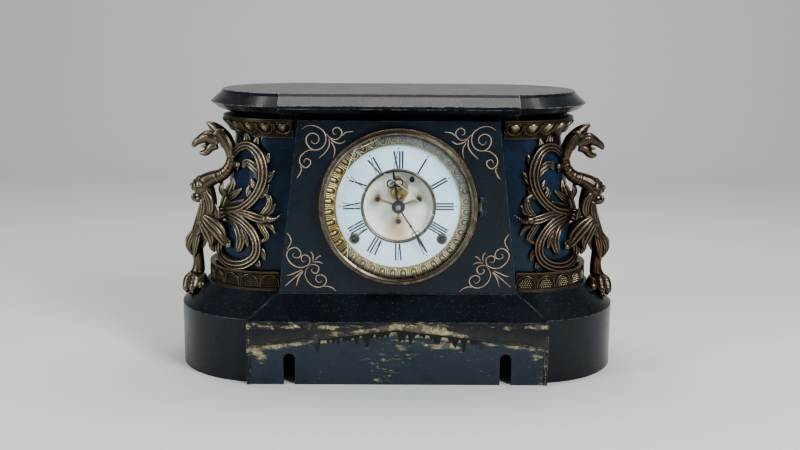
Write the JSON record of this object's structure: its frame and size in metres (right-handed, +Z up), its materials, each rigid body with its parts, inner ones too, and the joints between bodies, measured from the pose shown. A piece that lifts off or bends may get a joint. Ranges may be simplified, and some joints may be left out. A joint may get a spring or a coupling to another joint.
{
  "type": "mantel clock",
  "caption": "Mantel clock: cast case with rounded ends, griffin ornaments, glazed dial with open escapement, spring movement striking a coil gong.",
  "frame": {"origin": "on the table, under the middle of the base", "axes": "+Z up, -Y out of the dial towards the viewer, +X to the viewer's right"},
  "size_m": [0.445, 0.198, 0.28],
  "materials": {
    "case_iron": "black enamel, worn and dusty",
    "bronze": "aged bronze plate",
    "bolt_steel": "dark steel",
    "bezel_brass": "aged brass",
    "gilt": "bright gilt",
    "clear_glass": "clear",
    "door_iron": "matt black",
    "dial_paint": "cream, stained",
    "enamel": "white enamel",
    "black_steel": "blackened steel",
    "bright_steel": "bright",
    "plate_brass": "tarnished brass",
    "work_steel": "steel",
    "blued_steel": "blued steel"
  },
  "bodies": {
    "case": {"base_casting": "case_iron", "body_casting": "case_iron", "front_panel": "case_iron", "top_slab": "case_iron", "capital_left": "bronze", "capital_right": "bronze", "ring_left": "bronze", "ring_right": "bronze", "griffin_left": "bronze", "griffin_right": "bronze", "case_bolts": "bolt_steel", "bezel_hinge": "bezel_brass", "dial_pan": "dial_paint", "chapter_ring": "enamel", "centre_ring": "bezel_brass", "winding_grommets": "bezel_brass", "front_plate": "plate_brass", "back_plate": "plate_brass", "pillars": "plate_brass", "plate_nuts": "bolt_steel", "mainsprings": "blued_steel", "escapement_cock": "plate_brass", "cock_screws": "work_steel", "gong": "blued_steel", "gong_stand": "door_iron", "suspension_cock": "plate_brass"},
    "bezel": {"bezel": "bezel_brass", "sash_ring": "gilt", "glass": "clear_glass"},
    "back_door": {"back_door": "door_iron", "door_knob": "bezel_brass"},
    "minute_hand": {"centre_wheel": "plate_brass", "cannon_pinion": "plate_brass", "minute_hand": "black_steel", "hand_pin": "bright_steel"},
    "hour_hand": {"hour_wheel": "plate_brass", "hour_hand": "black_steel"},
    "minute_wheel": {"minute_wheel": "plate_brass"},
    "time_great_wheel": {"time_great_wheel": "plate_brass"},
    "time_winding_arbor": {"time_winding_arbor": "bright_steel"},
    "time_click": {"time_click": "bright_steel"},
    "second_wheel": {"second_wheel": "plate_brass"},
    "third_wheel": {"third_wheel": "plate_brass"},
    "escape_wheel": {"escape_wheel": "plate_brass"},
    "pallets": {"pallets": "work_steel"},
    "pendulum": {"suspension_spring": "bright_steel", "pendulum_rod": "work_steel", "bob": "plate_brass"},
    "rating_nut": {"rating_nut": "plate_brass"},
    "strike_great_wheel": {"strike_great_wheel": "plate_brass"},
    "strike_winding_arbor": {"strike_winding_arbor": "bright_steel"},
    "strike_click": {"strike_click": "bright_steel"},
    "pin_wheel": {"pin_wheel": "plate_brass"},
    "locking_wheel": {"locking_wheel": "plate_brass"},
    "warning_wheel": {"warning_wheel": "plate_brass"},
    "fly": {"fly": "plate_brass"},
    "count_wheel": {"count_wheel": "plate_brass"},
    "lifting_lever": {"lifting_lever": "work_steel"},
    "hammer": {"hammer": "work_steel"},
    "regulator": {"regulator_arbor": "work_steel"}
  },
  "joints": [
    {"name": "minute_turn", "type": "hinge", "parent": "case", "child": "minute_hand", "pos_m": [0, -0.03, 0.1725], "axis": [0, 1, 0], "continuous": true},
    {"name": "hour_turn", "type": "hinge", "parent": "case", "child": "hour_hand", "pos_m": [0, -0.03, 0.1725], "axis": [0, 1, 0], "continuous": true},
    {"name": "minute_wheel_turn", "type": "hinge", "parent": "case", "child": "minute_wheel", "pos_m": [0.01159, -0.03, 0.16939], "axis": [0, 1, 0], "continuous": true},
    {"name": "second_wheel_turn", "type": "hinge", "parent": "case", "child": "second_wheel", "pos_m": [0.01638, -0.03, 0.15231], "axis": [0, 1, 0], "continuous": true},
    {"name": "time_great_turn", "type": "hinge", "parent": "case", "child": "time_great_wheel", "pos_m": [0.0426, -0.03, 0.1404], "axis": [0, 1, 0], "continuous": true},
    {"name": "time_winding_turn", "type": "hinge", "parent": "time_great_wheel", "child": "time_winding_arbor", "pos_m": [0.0426, -0.03, 0.1404], "axis": [0, 1, 0], "continuous": true},
    {"name": "time_click_lift", "type": "hinge", "parent": "time_great_wheel", "child": "time_click", "pos_m": [0.0386, -0.03, 0.1574], "axis": [0, -1, 0], "range_deg": [0, 12]},
    {"name": "third_wheel_turn", "type": "hinge", "parent": "case", "child": "third_wheel", "pos_m": [0.00976, -0.03, 0.18108], "axis": [0, 1, 0], "continuous": true},
    {"name": "escape_turn", "type": "hinge", "parent": "case", "child": "escape_wheel", "pos_m": [0, -0.03, 0.1857], "axis": [0, 1, 0], "continuous": true},
    {"name": "pendulum_swing", "type": "hinge", "parent": "case", "child": "pendulum", "pos_m": [0, -0.003, 0.1999], "axis": [0, 1, 0], "range_deg": [-3, 3]},
    {"name": "pallets_rock", "type": "hinge", "parent": "case", "child": "pallets", "pos_m": [0, -0.03, 0.1999], "axis": [0, 1, 0], "range_deg": [-3, 3]},
    {"name": "locking_turn", "type": "hinge", "parent": "case", "child": "locking_wheel", "pos_m": [-0.02938, -0.03, 0.17482], "axis": [0, 1, 0], "continuous": true},
    {"name": "pin_wheel_turn", "type": "hinge", "parent": "case", "child": "pin_wheel", "pos_m": [-0.01638, -0.03, 0.15231], "axis": [0, 1, 0], "continuous": true},
    {"name": "strike_great_turn", "type": "hinge", "parent": "case", "child": "strike_great_wheel", "pos_m": [-0.0426, -0.03, 0.1404], "axis": [0, 1, 0], "continuous": true},
    {"name": "strike_winding_turn", "type": "hinge", "parent": "strike_great_wheel", "child": "strike_winding_arbor", "pos_m": [-0.0426, -0.03, 0.1404], "axis": [0, 1, 0], "continuous": true},
    {"name": "strike_click_lift", "type": "hinge", "parent": "strike_great_wheel", "child": "strike_click", "pos_m": [-0.0386, -0.03, 0.1574], "axis": [0, 1, 0], "range_deg": [0, 12]},
    {"name": "warning_turn", "type": "hinge", "parent": "case", "child": "warning_wheel", "pos_m": [-0.02163, -0.03, 0.18825], "axis": [0, 1, 0], "continuous": true},
    {"name": "fly_turn", "type": "hinge", "parent": "case", "child": "fly", "pos_m": [-0.01944, -0.03, 0.20065], "axis": [0, 1, 0], "continuous": true},
    {"name": "count_turn", "type": "hinge", "parent": "case", "child": "count_wheel", "pos_m": [-0.01342, -0.03, 0.13556], "axis": [0, 1, 0], "continuous": true},
    {"name": "lifting_lever_lift", "type": "hinge", "parent": "case", "child": "lifting_lever", "pos_m": [-0.034, -0.03, 0.1585], "axis": [0, 1, 0], "range_deg": [0, 8]},
    {"name": "hammer_lift", "type": "hinge", "parent": "case", "child": "hammer", "pos_m": [-0.05, -0.03, 0.1745], "axis": [0, 1, 0], "range_deg": [0, 15]},
    {"name": "regulator_turn", "type": "hinge", "parent": "case", "child": "regulator", "pos_m": [0.0131, -0.03, 0.1979], "axis": [0, 1, 0], "range_deg": [-720, 720]},
    {"name": "rating_nut_turn", "type": "hinge", "parent": "pendulum", "child": "rating_nut", "pos_m": [0, -0.003, 0.0565], "axis": [0, 0, 1], "continuous": true},
    {"name": "bezel_hinge", "type": "hinge", "parent": "case", "child": "bezel", "pos_m": [0.0792, -0.0763, 0.1725], "axis": [0, 0, 1], "range_deg": [0, 105]},
    {"name": "back_door_hinge", "type": "hinge", "parent": "case", "child": "back_door", "pos_m": [0.071, 0.0623, 0.1725], "axis": [0, 0, -1], "range_deg": [0, 120]}
  ],
  "couplings": [
    {"joint": "hour_turn", "follows": "minute_turn", "ratio": 0.083333},
    {"joint": "minute_wheel_turn", "follows": "minute_turn", "ratio": -0.33333},
    {"joint": "second_wheel_turn", "follows": "minute_turn", "ratio": -0.11111},
    {"joint": "time_great_turn", "follows": "minute_turn", "ratio": 0.013889},
    {"joint": "third_wheel_turn", "follows": "minute_turn", "ratio": -5.5},
    {"joint": "escape_turn", "follows": "minute_turn", "ratio": 27.5},
    {"joint": "pallets_rock", "follows": "pendulum_swing", "ratio": 1},
    {"joint": "pin_wheel_turn", "follows": "locking_turn", "ratio": -0.11111},
    {"joint": "strike_great_turn", "follows": "locking_turn", "ratio": 0.013889},
    {"joint": "warning_turn", "follows": "locking_turn", "ratio": -6.75},
    {"joint": "fly_turn", "follows": "locking_turn", "ratio": 40.5},
    {"joint": "count_turn", "follows": "locking_turn", "ratio": 0.014815}
  ]
}
